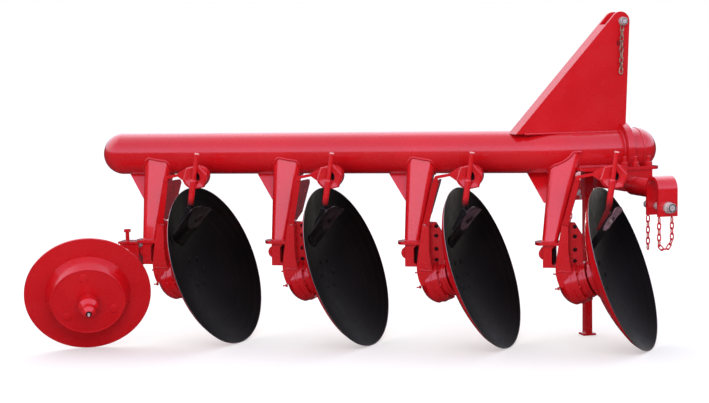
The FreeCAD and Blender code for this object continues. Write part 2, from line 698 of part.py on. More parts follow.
def build():
    beam = beam_bar(BEAM_RADIUS)
    nodes = headstock_nodes(beam)
    for i in range(DISC_COUNT):
        nodes.update(unit_nodes(i, beam))
    nodes["hitch_plate_right"] = largest(nodes["hitch_plate_right"].cut(nodes["standard_4"]))
    nodes["furrow_wheel"] = furrow_wheel()
    nodes["wheel_hub"] = wheel_hub()
    nodes["wheel_arm"] = wheel_arm()
    nodes["wheel_clamp"] = largest(wheel_clamp().cut([nodes["foot_bracket_1"], nodes["standard_1"]]))
    for shape in nodes.values():
        shape.rotate(V(0, 0, 0), UP, -BEAM_ANGLE)
    return nodes


def placed(nodes):
    """Moves the plough so that the middle of its box is over the origin, with its lowest point at z = 0."""
    box = FreeCAD.BoundBox()
    for shape in nodes.values():
        box.add(shape.optimalBoundingBox(False, False))
    shift = V(-box.Center.x, -box.Center.y, -box.ZMin)
    for shape in nodes.values():
        shape.translate(shift)
    return shift


nodes = build()
shift = placed(nodes)
os.makedirs("parts", exist_ok=True)
for name, shape in nodes.items():
    shape.exportStep(f"parts/{name}.step")
    print(name, len(shape.Solids), shape.isValid(), round(shape.Volume / 1000), "cm3")
print("shift", shift)
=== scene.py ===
import json
import bpy
import numpy as np
from math import cos, hypot, pi, radians, sin, sqrt, tau
from mathutils import Matrix, Vector


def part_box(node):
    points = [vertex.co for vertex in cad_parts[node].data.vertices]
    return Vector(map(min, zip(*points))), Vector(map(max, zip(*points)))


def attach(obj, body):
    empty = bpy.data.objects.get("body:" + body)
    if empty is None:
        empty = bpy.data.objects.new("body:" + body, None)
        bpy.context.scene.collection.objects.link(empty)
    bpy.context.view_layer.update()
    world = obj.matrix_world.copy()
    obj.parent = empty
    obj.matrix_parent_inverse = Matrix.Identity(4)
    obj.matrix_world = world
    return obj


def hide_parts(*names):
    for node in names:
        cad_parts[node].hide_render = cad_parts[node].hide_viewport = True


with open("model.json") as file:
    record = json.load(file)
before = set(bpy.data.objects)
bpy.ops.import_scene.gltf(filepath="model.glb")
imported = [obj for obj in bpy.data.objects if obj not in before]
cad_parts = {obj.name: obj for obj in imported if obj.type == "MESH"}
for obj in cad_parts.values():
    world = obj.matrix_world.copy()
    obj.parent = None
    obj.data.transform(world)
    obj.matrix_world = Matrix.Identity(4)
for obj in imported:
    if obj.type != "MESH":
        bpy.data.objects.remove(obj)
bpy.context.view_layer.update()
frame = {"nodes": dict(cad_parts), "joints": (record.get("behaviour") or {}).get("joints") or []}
nodes = frame["nodes"]
joints = {joint["name"]: joint for joint in frame["joints"]}
print("frame loaded:", len(nodes), "nodes")

units = (1, 2, 3, 4)

# The beam frame has x along the beam, y to the left and z up, from the floor under the first disc.
beam = {"angle": 28, "radius": 0.08415, "height": 0.760, "bendStart": 1.220, "bendRadius": 0.390,
        "discSide": 0.100}
beamTurn = Matrix.Rotation(-radians(beam["angle"]), 4, "Z")
discSpots = [Vector(joints[f"disc_{n}_spin"]["pos_m"]) for n in units]
discAxis = Vector(joints["disc_1_spin"]["axis"]).normalized()
wheelSpot = Vector(joints["furrow_wheel_spin"]["pos_m"])
wheelAxis = Vector(joints["furrow_wheel_spin"]["axis"]).normalized()
discSpacing = (discSpots[1] - discSpots[0]).length


def unitPlace(n):
    # the beam frame moved along to disc n
    spot = discSpots[n - 1] + beamTurn @ Vector((0, beam["discSide"], 0))
    return Matrix.Translation((spot.x, spot.y, 0)) @ beamTurn


# y of the headstock tube, which runs along X
headLow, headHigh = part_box("beam_collar")
headSide = (headLow.y + headHigh.y) / 2


def axisPlace(spot, axis, turn=0.0):
    # z along the axis, with x kept level where it can be
    facing = Vector(axis).normalized().to_track_quat("Z", "Y").to_matrix().to_4x4()
    return Matrix.Translation(spot) @ facing @ Matrix.Rotation(turn, 4, "Z")


class Socket:
    # wraps a shader socket, so that a formula on it adds its Math nodes
    def __init__(self, tree, plug):
        self.tree = tree
        self.plug = plug

    def maths(self, operation, other, swapped=False):
        node = self.tree.nodes.new("ShaderNodeMath")
        node.operation = operation
        items = (other, self) if swapped else (self, other)
        for entry, item in zip(node.inputs, items):
            if isinstance(item, Socket):
                self.tree.links.new(item.plug, entry)
            else:
                entry.default_value = item
        return Socket(self.tree, node.outputs[0])

    def __add__(self, other):
        return self.maths("ADD", other)

    __radd__ = __add__

    def __sub__(self, other):
        return self.maths("SUBTRACT", other)

    def __rsub__(self, other):
        return self.maths("SUBTRACT", other, True)

    def __mul__(self, other):
        return self.maths("MULTIPLY", other)

    def __pow__(self, other):
        return self.maths("POWER", other)

    def __gt__(self, other):
        return self.maths("GREATER_THAN", other)

    def clamped(self):
        return self.maths("MAXIMUM", 0.0).maths("MINIMUM", 1.0)


class Finish:
    # one material, with the Principled shader's fixed sockets set by name
    def __init__(self, name, **fixed):
        self.material = bpy.data.materials.new(name)
        self.material.use_nodes = True
        self.tree = self.material.node_tree
        self.shader = self.tree.nodes["Principled BSDF"]
        for socketName, value in fixed.items():
            self.shader.inputs[socketName.replace("_", " ")].default_value = value

    def node(self, kind, settings=None, inputs=None, out=0):
        made = self.tree.nodes.new(kind)
        for key, value in (settings or {}).items():
            setattr(made, key, value)
        for key, value in (inputs or {}).items():
            if isinstance(value, Socket):
                self.tree.links.new(value.plug, made.inputs[key])
            else:
                made.inputs[key].default_value = value
        return Socket(self.tree, made.outputs[out])

    def feed(self, socketName, value):
        self.tree.links.new(value.plug, self.shader.inputs[socketName])

    def places(self):
        return self.node("ShaderNodeTexCoord", out="Object")

    def vectorMaths(self, operation, first, second=None, out="Value"):
        inputs = {0: first} if second is None else {0: first, 1: second}
        return self.node("ShaderNodeVectorMath", {"operation": operation}, inputs, out)

    def noise(self, scale, detail=2.0, rough=0.5, where=None):
        inputs = {"Vector": where or self.places(), "Scale": scale, "Detail": detail, "Roughness": rough}
        return self.node("ShaderNodeTexNoise", None, inputs, "Fac")

    def spread(self, value, low, high, fromLow=0.3, fromHigh=0.7):
        # the value carried from one range to another, and held at its ends
        ends = {"From Min": fromLow, "From Max": fromHigh, "To Min": low, "To Max": high}
        return self.node("ShaderNodeMapRange", None, {"Value": value, **ends})

    def blend(self, mask, first, second):
        made = self.tree.nodes.new("ShaderNodeMix")
        made.data_type = "RGBA"
        for entry, item in ((made.inputs[0], mask), (made.inputs[6], first), (made.inputs[7], second)):
            if isinstance(item, Socket):
                self.tree.links.new(item.plug, entry)
            else:
                entry.default_value = item
        return Socket(self.tree, made.outputs[2])

    def rounded(self, edge):
        # soft edges, so that each plate's corner catches the light
        return self.node("ShaderNodeBevel", {"samples": 6}, {"Radius": edge})

    def bumped(self, height, strength, distance, under=None):
        inputs = {"Height": height, "Strength": strength, "Distance": distance}
        if under:
            inputs["Normal"] = under
        return self.node("ShaderNodeBump", None, inputs)

    def aboutAxis(self, spot, axis):
        # distance from an axis, and along it from the spot
        offset = self.vectorMaths("SUBTRACT", self.places(), spot, "Vector")
        along = self.vectorMaths("DOT_PRODUCT", offset, axis)
        length = self.vectorMaths("LENGTH", offset)
        return (length * length - along * along).clamped() ** 0.5, along


def linear(red, green, blue):
    # display colour, 0 to 255, as a shader colour
    return (*(((c / 255 + 0.055) / 1.055) ** 2.4 if c > 10 else c / 3294.6 for c in (red, green, blue)), 1)


enamel = {"bright": (206, 17, 24), "deep": (190, 13, 19), "edge": 0.0016, "peelScale": 240, "peel": 0.04,
          "roughLow": 0.22, "roughHigh": 0.32}


def paintOver(finish, edge, peel=None):
    # glossy enamel with a slight colour drift, orange peel and a few soft runs
    drift = finish.noise(2.3, 4.0, 0.6)
    finish.feed("Roughness", finish.spread(finish.noise(9.0, 3.0), enamel["roughLow"], enamel["roughHigh"]))
    base = finish.rounded(edge)
    peelHeight = finish.noise(enamel["peelScale"], 1.5)
    runs = finish.noise(17.0, 2.0, 0.4)
    normal = finish.bumped(runs, 0.10, 0.004, base)
    normal = finish.bumped(peelHeight, peel or enamel["peel"], 0.0006, normal)
    finish.feed("Normal", normal)
    return finish.blend(finish.spread(drift, 0.0, 1.0), linear(*enamel["deep"]), linear(*enamel["bright"]))


def makeRed(name="redEnamel", edge=None, peel=None, coat=1.0):
    finish = Finish(name, IOR=1.5, Coat_Weight=coat, Coat_IOR=1.5, Coat_Roughness=0.06)
    finish.feed("Base Color", paintOver(finish, edge or enamel["edge"], peel))
    return finish.material


discFace = {"black": (9, 9, 8), "brown": (24, 20, 19), "steel": (150, 140, 138), "edgeFrom": 0.3282,
            "frontFacing": 0.35, "flatFacing": 0.9}


def makeDisc(name, spot):
    # black enamel on the hollow side, red behind, and a rim ground bright
    finish = Finish(name, Specular_IOR_Level=0.02, Coat_Roughness=0.07)
    radius, along = finish.aboutAxis(spot, discAxis)
    facing = finish.vectorMaths("DOT_PRODUCT", finish.node("ShaderNodeTexCoord", out="Normal"), discAxis)
    front = facing > discFace["frontFacing"]
    rim = (radius > discFace["edgeFrom"]) * (1 - (facing > discFace["flatFacing"]))
    red = paintOver(finish, 0.0010)
    rolled = finish.node("ShaderNodeCombineXYZ", None, {"X": radius * 60.0, "Y": along * 4.0})
    swirl = finish.noise(6.0, 3.0, 0.5, rolled)
    black = finish.blend(finish.spread(swirl + finish.noise(5.0) * 0.6, 0.0, 1.0, 0.72, 1.15),
                         linear(*discFace["black"]), linear(*discFace["brown"]))
    painted = finish.blend(front, red, black)
    finish.feed("Base Color", finish.blend(rim, painted, linear(*discFace["steel"])))
    finish.feed("Metallic", rim * 0.8)
    finish.feed("Coat Weight", 0.9 - front * 0.9)
    scuff = finish.spread(finish.noise(30.0, 4.0, 0.6), 0.30, 0.42)
    finish.feed("Roughness", scuff + rim * 0.1)
    return finish.material


bladeFace = {"dark": (15, 14, 12), "brown": (40, 37, 33), "chip": (104, 98, 92), "lipShade": 0.62}


def makeBlade():
    # dark enamel worn brown on the raised places, with a few chips down to steel
    finish = Finish("bladeEnamel", Specular_IOR_Level=0.07)
    worn = finish.spread(finish.noise(11.0, 5.0, 0.65), 0.0, 1.0, 0.42, 0.62)
    chips = finish.spread(finish.noise(95.0, 3.0, 0.7), 0.0, 1.0, 0.66, 0.70)
    colour = finish.blend(worn, linear(*bladeFace["dark"]), linear(*bladeFace["brown"]))
    finish.feed("Base Color", finish.blend(chips, colour, linear(*bladeFace["chip"])))
    finish.feed("Metallic", chips * 0.7)
    finish.feed("Roughness", finish.spread(finish.noise(26.0, 3.0), 0.24, 0.42))
    finish.feed("Normal", finish.bumped(finish.noise(140.0, 2.0), 0.12, 0.0008, finish.rounded(0.0016)))
    return finish.material


def makeBlack():
    # the discs' black enamel, for their bolts
    finish = Finish("blackEnamel", Specular_IOR_Level=0.02)
    finish.feed("Base Color", finish.blend(finish.spread(finish.noise(40.0, 3.0), 0.0, 1.0),
                                           linear(*discFace["black"]), linear(*discFace["brown"])))
    finish.feed("Roughness", finish.spread(finish.noise(60.0), 0.25, 0.40))
    return finish.material


def makeLip(name, paintedLightTone):
    # the blade's bent corner, rubbed paler in random patches; its tone is painted light, a painted highlight
    # that is palest on unit 4
    finish = Finish(name, Specular_IOR_Level=0.15)
    rubbed = finish.spread(finish.noise(38.0, 4.0, 0.65), 0.0, 1.0, 0.35, 0.65)
    deep = linear(*(c * bladeFace["lipShade"] for c in paintedLightTone))
    finish.feed("Base Color", finish.blend(rubbed, deep, linear(*paintedLightTone)))
    finish.feed("Roughness", finish.spread(finish.noise(60.0, 3.0), 0.3, 0.5))
    finish.feed("Normal", finish.bumped(finish.noise(120.0, 2.0), 0.15, 0.0006, finish.rounded(0.0010)))
    return finish.material


# outward of that side, an arm is black below one height and plain red above the other
armShade = {"side": -0.222, "redFrom": 0.602, "black": 0.570, "ragged": 0.02, "dark": (14, 12, 11),
            "lastDark": (70, 12, 12)}


def makeArm(name, dark, depth):
    # red enamel, going black below a ragged height on the outward side, at the foot of the stem and its
    # bracket
    finish = Finish(name, IOR=1.5, Coat_IOR=1.5, Coat_Roughness=0.06)
    where = finish.vectorMaths("SUBTRACT", finish.places(), unitPlace(1).translation, "Vector")
    side = finish.vectorMaths("DOT_PRODUCT", where, beamTurn @ Vector((0, 1, 0)))
    height = finish.vectorMaths("DOT_PRODUCT", where, (0, 0, 1))
    ragged = height + finish.noise(55.0, 3.0) * armShade["ragged"]
    drift = armShade["ragged"] / 2
    low = finish.spread(ragged, 1.0, 0.0, armShade["black"] + drift, armShade["redFrom"] + drift)
    mask = low * (1 - (side > armShade["side"])) * depth
    red = paintOver(finish, enamel["edge"])
    finish.feed("Base Color", finish.blend(mask, red, linear(*dark)))
    finish.feed("Coat Weight", 1 - mask * 0.95)
    return finish.material


zincFace = {"bright": (226, 222, 212), "dull": (172, 168, 160)}
chainFace = {"bright": (206, 190, 160), "dull": (96, 62, 50)}
bareFace = {"primer": (236, 176, 164), "steel": (214, 196, 184)}
darkPartsAndShadeFace = {"black": (14, 9, 9), "brown": (42, 16, 16)}


def makeZinc(name, face):
    # bright zinc plate with fine turning marks and dull patches
    finish = Finish(name, Specular_IOR_Level=0.5)
    patches = finish.spread(finish.noise(70.0, 4.0, 0.6), 0.0, 1.0, 0.35, 0.65)
    finish.feed("Base Color", finish.blend(patches, linear(*face["dull"]), linear(*face["bright"])))
    finish.feed("Metallic", 0.25 + patches * 0.25)
    finish.feed("Roughness", finish.spread(finish.noise(160.0, 3.0), 0.22, 0.42))
    marks = finish.node("ShaderNodeTexWave", {"bands_direction": "Y"},
                        {"Vector": finish.places(), "Scale": 420.0, "Distortion": 1.2, "Detail": 2.0}, "Fac")
    finish.feed("Normal", finish.bumped(marks, 0.08, 0.0004, finish.rounded(0.0010)))
    return finish.material


def makeBareEnd():
    # paint knocked off down to pale primer and steel
    finish = Finish("bareEnd", IOR=1.45)
    worn = finish.spread(finish.noise(160.0, 4.0, 0.7), 0.0, 1.0, 0.4, 0.6)
    finish.feed("Base Color", finish.blend(worn, linear(*bareFace["primer"]), linear(*bareFace["steel"])))
    finish.feed("Roughness", finish.spread(finish.noise(80.0), 0.4, 0.6))
    return finish.material


def makeShade():
    # near-black with brown patches: painted shade inside the scraper's eye, the yoke's notch and the blade's
    # hole, and the colour of the dark ring at the hub's end and the plugs in the carrier's holes
    finish = Finish("darkPartsAndShadeBlack", IOR=1.45)
    finish.feed("Base Color", finish.blend(finish.spread(finish.noise(60.0, 3.0), 0.0, 1.0),
                                           linear(*darkPartsAndShadeFace["black"]), linear(*darkPartsAndShadeFace["brown"])))
    finish.feed("Roughness", finish.spread(finish.noise(45.0), 0.35, 0.6))
    return finish.material


redPaint = makeRed()
castRed = makeRed("castEnamel", 0.0030, 0.16)
weldRed = makeRed("weldEnamel", 0.0004, 0.10)
coverRed = makeRed("coverEnamel", coat=0.15)
armRed = makeArm("armEnamel", armShade["dark"], 1.0)
lastArmRed = makeArm("lastArmEnamel", armShade["lastDark"], 0.85)
bladePaint = makeBlade()
zincPlate = makeZinc("zincPlate", zincFace)
chainSteel = makeZinc("chainSteel", chainFace)
bareEnd = makeBareEnd()
darkPartsAndShadeBlack = makeShade()
for n in units:
    nodes[f"disc_{n}"].data.materials.clear()
    nodes[f"disc_{n}"].data.materials.append(makeDisc(f"discEnamel{n}", discSpots[n - 1]))
for name, node in nodes.items():
    if name[:5] == "disc_" and name[5:].isdigit():
        continue
    finish = redPaint
    if name.startswith(("disc_carrier", "wheel_clamp", "foot_bracket")):
        finish = castRed
    if name.startswith("scraper_blade"):
        finish = bladePaint
    if name.startswith("scraper_arm"):
        finish = lastArmRed if name.endswith("4") else armRed
    if name in ("tower_cover", "tower_plate_right", "tower_plate_left"):
        finish = coverRed
    if name in ("top_link_pin", "lower_link_pins"):
        finish = zincPlate
    node.data.materials.clear()
    node.data.materials.append(finish)
print("finishes made")


class Form:
    # collects rings of points into one mesh
    def __init__(self):
        self.points = []
        self.faces = []

    def skin(self, rings, closed=False):
        # joins rings of equal size, or of one point, in turn; closed joins the last to the first
        starts = []
        for ring in rings:
            starts.append(len(self.points))
            self.points += [tuple(p) for p in ring]
        pairs = list(zip(range(len(rings)), range(1, len(rings))))
        if closed:
            pairs.append((len(rings) - 1, 0))
        for a, b in pairs:
            m, n = len(rings[a]), len(rings[b])
            for k in range(max(m, n)):
                j = (k + 1) % max(m, n)
                corners = [starts[a] + k % m, starts[a] + j % m, starts[b] + j % n, starts[b] + k % n]
                corners = list(dict.fromkeys(corners))
                if len(corners) > 2:
                    self.faces.append(corners)

    def turned(self, place, profile, sides=32):
        # profile of (radius, height) about the place's z
        rings = []
        for radius, height in profile:
            steps = 1 if radius == 0 else sides
            angles = [tau * k / steps for k in range(steps)]
            rings.append([place @ Vector((radius * cos(a), radius * sin(a), height)) for a in angles])
        self.skin(rings)

    def hexagon(self, place, across, low, high):
        # nut or bolt head with its corners turned down, resting on low
        sides = 36
        flat = across / 2
        bevel = flat * 0.14

        def ring(share, height):
            corners = []
            for k in range(sides):
                angle = tau * k / sides
                reach = min(flat / cos((angle + pi / 6) % (pi / 3) - pi / 6), flat * share)
                corners.append(place @ Vector((reach * cos(angle), reach * sin(angle), height)))
            return corners

        self.skin([ring(0.2, low), ring(1.16, low), ring(1.16, high - bevel), ring(1.06, high - bevel * 0.4),
                   ring(0.94, high), [place @ Vector((0, 0, high))]])

    def tube(self, path, radii, sides=10, closed=False):
        # round bar along a path, with one radius for each point
        path = [Vector(p) for p in path]
        count = len(path)
        ways = []
        for k in range(count):
            before = path[k - 1] if k or closed else path[k]
            after = path[(k + 1) % count] if k < count - 1 or closed else path[k]
            ways.append((after - before).normalized())
        side = ways[0].orthogonal().normalized()
        rings = []
        for way, spot, radius in zip(ways, path, radii):
            side = (side - way * side.dot(way)).normalized()
            other = way.cross(side)
            rings.append([spot + (side * cos(tau * k / sides) + other * sin(tau * k / sides)) * radius
                          for k in range(sides)])
        if not closed:
            rings = [[path[0]]] + rings + [[path[-1]]]
        self.skin(rings, closed)

    def piece(self, name, finish, body, sharp=35):
        mesh = bpy.data.meshes.new(name)
        mesh.from_pydata(self.points, [], self.faces)
        mesh.validate()
        mesh.shade_smooth()
        mesh.set_sharp_from_angle(angle=radians(sharp))
        mesh.materials.append(finish)
        made = bpy.data.objects.new(name, mesh)
        bpy.context.scene.collection.objects.link(made)
        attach(made, body)
        return made


def evenly(path, step, closed=False):
    # the path's points again, evenly spaced
    spots = np.array([tuple(p) for p in path] + ([tuple(path[0])] if closed else []))
    runs = np.concatenate([[0], np.cumsum(np.linalg.norm(np.diff(spots, axis=0), axis=1))])
    count = max(2, round(runs[-1] / step))
    marks = np.linspace(0, runs[-1], count + 1)
    if closed:
        marks = marks[:-1]
    return [Vector([np.interp(mark, runs, spots[:, k]) for k in range(3)]) for mark in marks]


bead = {"pitch": 0.0052, "stepsPerRipple": 4, "ripple": 0.16, "wander": 0.10}


def weld(form, path, size, closed=False):
    # rippled weld bead of that radius, half sunk in the corner that it fills
    spots = evenly(path, bead["pitch"] / bead["stepsPerRipple"], closed)
    radii = []
    for k in range(len(spots)):
        phase = (k % bead["stepsPerRipple"]) / bead["stepsPerRipple"]
        slow = sin(k * 0.113) * sin(k * 0.041 + 1.3)
        radii.append(size * (1 - bead["ripple"] * phase + bead["wander"] * slow))
    if not closed:
        radii[0] = radii[-1] = size * 0.5
    form.tube(spots, radii, 8, closed)


# the legs' section, for their welds
leg = {"topHalf": 0.061, "topCorner": 0.027, "footHalf": 0.031, "footCorner": 0.020, "footHeight": 0.412,
       "topBack": 0.246, "lastTopBack": 0.228, "footBack": 0.286, "topSide": 0.019, "footSide": 0.062,
       "turn": radians(3)}


def beamSide(x):
    # y of the beam's middle at x
    run = x - beam["bendStart"]
    return 0 if run < 0 else beam["bendRadius"] - sqrt(beam["bendRadius"] ** 2 - run ** 2)


def beamOffset(x, y):
    # distance of a point from the beam's middle line, seen from above
    run = x - beam["bendStart"]
    return abs(y) if run < 0 else abs(hypot(run, y - beam["bendRadius"]) - beam["bendRadius"])


def legPoint(n, angle, height, swell=0.0):
    # point on leg n's skin at an angle about its middle, in the beam frame
    start = (n - 1) * discSpacing
    topX = start - (leg["lastTopBack"] if n == 4 else leg["topBack"])
    share = (height - leg["footHeight"]) / (beam["height"] - leg["footHeight"])
    half = leg["footHalf"] + (leg["topHalf"] - leg["footHalf"]) * share + swell
    corner = leg["footCorner"] + (leg["topCorner"] - leg["footCorner"]) * share + swell
    footX = start - leg["footBack"]
    x = footX + (topX - footX) * share
    topY = beamSide(topX) - leg["topSide"]
    y = -leg["footSide"] + (topY + leg["footSide"]) * share
    c, s = abs(cos(angle - leg["turn"])), abs(sin(angle - leg["turn"]))
    flat = half - corner
    reach = half / max(c, s)
    if reach * min(c, s) > flat:
        reach = flat * (c + s) + sqrt((flat * (c + s)) ** 2 - 2 * flat ** 2 + corner ** 2)
    return Vector((x + reach * cos(angle), y + reach * sin(angle), height))


legWeld = {"topSize": 0.0062, "topSwell": 0.0006, "topPoints": 96, "footSize": 0.0042, "footPoints": 72,
           "firstGuess": 0.70, "guesses": 14}


def legSeam(n, swell):
    # where leg n meets the underside of the beam, closed in on from a first guess of the height
    seam = []
    for k in range(legWeld["topPoints"]):
        angle = tau * k / legWeld["topPoints"]
        spot = legPoint(n, angle, legWeld["firstGuess"], swell)
        for _ in range(legWeld["guesses"]):
            drop = sqrt(max(beam["radius"] ** 2 - beamOffset(spot.x, spot.y) ** 2, 0))
            spot = legPoint(n, angle, beam["height"] - drop, swell)
        seam.append(spot)
    return seam


firstPlace = unitPlace(1)
for n in units:
    form = Form()
    weld(form, [firstPlace @ p for p in legSeam(n, legWeld["topSwell"])], legWeld["topSize"], True)
    count = legWeld["footPoints"]
    foot = [firstPlace @ legPoint(n, tau * k / count, leg["footHeight"] + 0.001) for k in range(count)]
    weld(form, foot, legWeld["footSize"], True)
    form.piece(f"leg_welds_{n}", weldRed, "frame", 60)
print("leg welds made")


headWeld = {"size": 0.0045, "towerSide": 0.0415, "towerInset": 0.035, "plateSide": 0.0605,
            "plateInset": 0.004, "lift": 0.001, "ringSize": 0.0048, "ringFrom": -42, "ringSpan": 264,
            "ringSteps": 80}


def headPoint(x, y, z):
    return Vector((x, headSide + y, z))


towerLow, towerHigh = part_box("tower_plate_right")
plateLow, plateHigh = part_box("hitch_plate_right")
collarLow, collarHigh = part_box("beam_collar")
boxLow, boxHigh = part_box("hitch_box")
form = Form()
for side in (-1, 1):
    y = side * headWeld["towerSide"]
    z = beam["height"] + sqrt(beam["radius"] ** 2 - y ** 2)
    start = headPoint(towerLow.x + headWeld["towerInset"], y, z)
    weld(form, [start, headPoint(collarLow.x - 0.002, y, z)], headWeld["size"])
    y = side * headWeld["plateSide"]
    z = plateHigh.z + headWeld["lift"]
    start = headPoint(plateLow.x + headWeld["plateInset"], y, z)
    weld(form, [start, headPoint(collarLow.x - headWeld["plateInset"], y, z)], headWeld["size"])
reach = beam["radius"] + headWeld["lift"]
count = headWeld["ringSteps"]
for x in (collarLow.x - headWeld["lift"], collarHigh.x + headWeld["lift"]):
    angles = [radians(headWeld["ringFrom"] + headWeld["ringSpan"] * k / count) for k in range(count + 1)]
    ring = [headPoint(x, reach * cos(a), beam["height"] + reach * sin(a)) for a in angles]
    weld(form, ring, headWeld["ringSize"])
form.piece("headstock_welds", weldRed, "frame", 60)

capSeam = {"size": 0.0040, "sink": 0.0012, "points": 90}
form = Form()
frontLow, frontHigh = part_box("beam_front_cap")
capX = frontHigh.x - beam["radius"]
reach = beam["radius"] - capSeam["sink"]
angles = [tau * k / capSeam["points"] for k in range(capSeam["points"])]
ring = [headPoint(capX, reach * cos(a), beam["height"] + reach * sin(a)) for a in angles]
weld(form, ring, capSeam["size"], True)
form.piece("cap_welds", weldRed, "frame", 60)

hitchBolt = {"inset": 0.026, "across": 0.026, "washer": 0.0160, "washerThick": 0.003, "nut": 0.015,
             "stud": 0.0075, "studTop": 0.040, "chamfer": 0.002, "places": (0.005, 0.052, 0.109)}


def boltUp(form, spot):
    # washer, nut and the rounded end of the stud
    place = axisPlace(spot, Vector((0, 0, 1)), 0.3)
    stud, washer, thick = hitchBolt["stud"], hitchBolt["washer"], hitchBolt["washerThick"]
    form.turned(place, [(stud, 0), (washer, 0), (washer, thick), (stud, thick)], 28)
    nut, top, chamfer = hitchBolt["nut"], hitchBolt["studTop"], hitchBolt["chamfer"]
    form.hexagon(place, hitchBolt["across"], thick, thick + nut)
    form.turned(place, [(stud, nut), (stud, top - chamfer), (stud - chamfer, top), (0, top)], 20)


form = Form()
for side in (-1, 1):
    y = side * (headSide - plateLow.y - hitchBolt["inset"])
    for run in hitchBolt["places"]:
        boltUp(form, headPoint(boxLow.x + run, y, plateHigh.z))
form.piece("hitch_bolts", redPaint, "frame", 30)
print("headstock dressed")


chainWire = {"wire": 0.0024, "length": 0.0304, "width": 0.0175, "bendSteps": 7, "sides": 8,
             "gridPerMetre": 20000}


def linkFrames(node):
    # middle, long way and flat side of each link of a CAD chain, told apart by the corners that faces share
    mesh = nodes[node].data
    parent = {}

    def root(k):
        while parent.setdefault(k, k) != k:
            k = parent[k]
        return k

    keys = [tuple(round(c * chainWire["gridPerMetre"]) for c in v.co) for v in mesh.vertices]
    for polygon in mesh.polygons:
        first, *others = [root(keys[k]) for k in polygon.vertices]
        for other in others:
            parent[root(other)] = root(first)
    groups = {}
    for key, vertex in zip(keys, mesh.vertices):
        groups.setdefault(root(key), set()).add(tuple(vertex.co))
    frames = []
    for group in groups.values():
        spots = np.array(sorted(group))
        middle = spots.mean(0)
        _, ways = np.linalg.eigh(np.cov((spots - middle).T))
        frames.append((Vector(middle), Vector(ways[:, 2]), Vector(ways[:, 0])))
    return frames


def chainLink(form, middle, along, flat):
    # welded round-wire link: two straight sides and two half-round ends
    wire = chainWire["wire"]
    across = flat.cross(along)
    bend = chainWire["width"] / 2 - wire
    straight = chainWire["length"] / 2 - wire - bend
    path = []
    for end in (1, -1):
        for k in range(chainWire["bendSteps"] + 1):
            a = pi * k / chainWire["bendSteps"] - pi / 2
            path.append(middle + along * end * (straight + bend * cos(a)) + across * end * bend * sin(a))
    form.tube(path, [wire] * len(path), chainWire["sides"], True)


chainFinish = {"clevis_chain_right": (redPaint, "red_paint"), "clevis_chain_left": (redPaint, "red_paint"),
               "top_pin_chain": (chainSteel, "zinc_steel")}
for node, (finish, slotName) in chainFinish.items():
    form = Form()
    for middle, along, flat in linkFrames(node):
        chainLink(form, middle, along, flat)
    made = form.piece(node + "_links", finish, "frame", 60)
    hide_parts(node)
print("chains made")


# head profile as shares of the radius and heights from the face
linkPin = {"lower": 0.017, "top": 0.0145, "springPast": 0.050, "springLean": 0.004, "springReach": 0.026,
           "springRadius": 0.0032,
           "head": ((0.98, -0.010), (1.05, -0.008), (1.05, -0.002), (0.93, 0.0), (0.70, 0.0),
                    (0.62, -0.0012), (0, -0.0012))}


def pinHead(form, spot, out, radius):
    # chamfered head with a raised rim and a shallow centre
    form.turned(axisPlace(spot, out), [(radius * share, height) for share, height in linkPin["head"]], 40)


pinLow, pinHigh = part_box("lower_link_pins")
topLow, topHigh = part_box("top_link_pin")
form = Form()
x = (pinLow.x + pinHigh.x) / 2
z = (pinLow.z + pinHigh.z) / 2
for side in (-1, 1):
    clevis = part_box("lower_clevis_right" if side < 0 else "lower_clevis_left")
    outer = pinLow.y if side < 0 else pinHigh.y
    pinHead(form, Vector((x, outer, z)), (0, side, 0), linkPin["lower"])
    # spring pin through the free end
    innerWall = clevis[1].y if side < 0 else clevis[0].y
    tip = Vector((x, innerWall - side * linkPin["springPast"], z))
    half = Vector((linkPin["springLean"], 0, linkPin["springReach"]))
    form.tube([tip - half, tip + half], [linkPin["springRadius"]] * 2, 12)
topSpot = Vector(((topLow.x + topHigh.x) / 2, topLow.y, (topLow.z + topHigh.z) / 2))
pinHead(form, topSpot, (0, -1, 0), linkPin["top"])
form.piece("pin_heads", zincPlate, "frame", 40)
print("pins dressed")


# profiles are of radius and height
wheel = {"rivetCircle": 0.105, "rivets": 3, "firstRivet": 9, "faceHeight": 0.058, "noseTop": 0.154,
         "rivet": ((0.0190, -0.001), (0.0190, 0.0004), (0.0172, 0.0014), (0.008, 0.0019), (0, 0.0020)),
         "nutDrop": 0.007, "nutAcross": 0.019, "nutHigh": 0.010, "beadCircle": 0.1415, "bead": 0.0030,
         "darkRing": ((0.0062, 0.0), (0.0062, 0.0016), (0.0105, 0.0016), (0.0118, 0.0))}
form = Form()
wheelUp = (Vector((0, 0, 1)) - wheelAxis * wheelAxis.z).normalized()
wheelAcross = wheelAxis.cross(wheelUp)
for k in range(wheel["rivets"]):
    turn = tau * k / wheel["rivets"] + radians(wheel["firstRivet"])
    out = wheelUp * cos(turn) + wheelAcross * sin(turn)
    spot = wheelSpot + wheelAxis * wheel["faceHeight"] + out * wheel["rivetCircle"]
    form.turned(axisPlace(spot, wheelAxis), wheel["rivet"], 36)
    back = axisPlace(spot - wheelAxis * wheel["nutDrop"], -wheelAxis, 0.2)
    form.hexagon(back, wheel["nutAcross"], 0.0, wheel["nutHigh"])
form.piece("wheel_rivets", redPaint, "furrow_wheel", 50)
# rolled edge of the dished face
form = Form()
circle, size = wheel["beadCircle"], wheel["bead"]
profile = [(circle - size * 2.2, -0.001), (circle - size, size * 0.35), (circle, size * 0.7),
           (circle + size, size * 0.35), (circle + size * 1.5, -0.002)]
form.turned(axisPlace(wheelSpot + wheelAxis * wheel["faceHeight"], wheelAxis), profile, 96)
form.piece("wheel_bead", redPaint, "furrow_wheel", 60)

nipple = {"across": 0.011, "sink": 0.002, "base": 0.006,
          "profile": ((0.0036, 0.006), (0.0026, 0.009), (0.0026, 0.0115), (0.0034, 0.0135), (0.0034, 0.0150),
                      (0.0022, 0.0168), (0, 0.0170))}


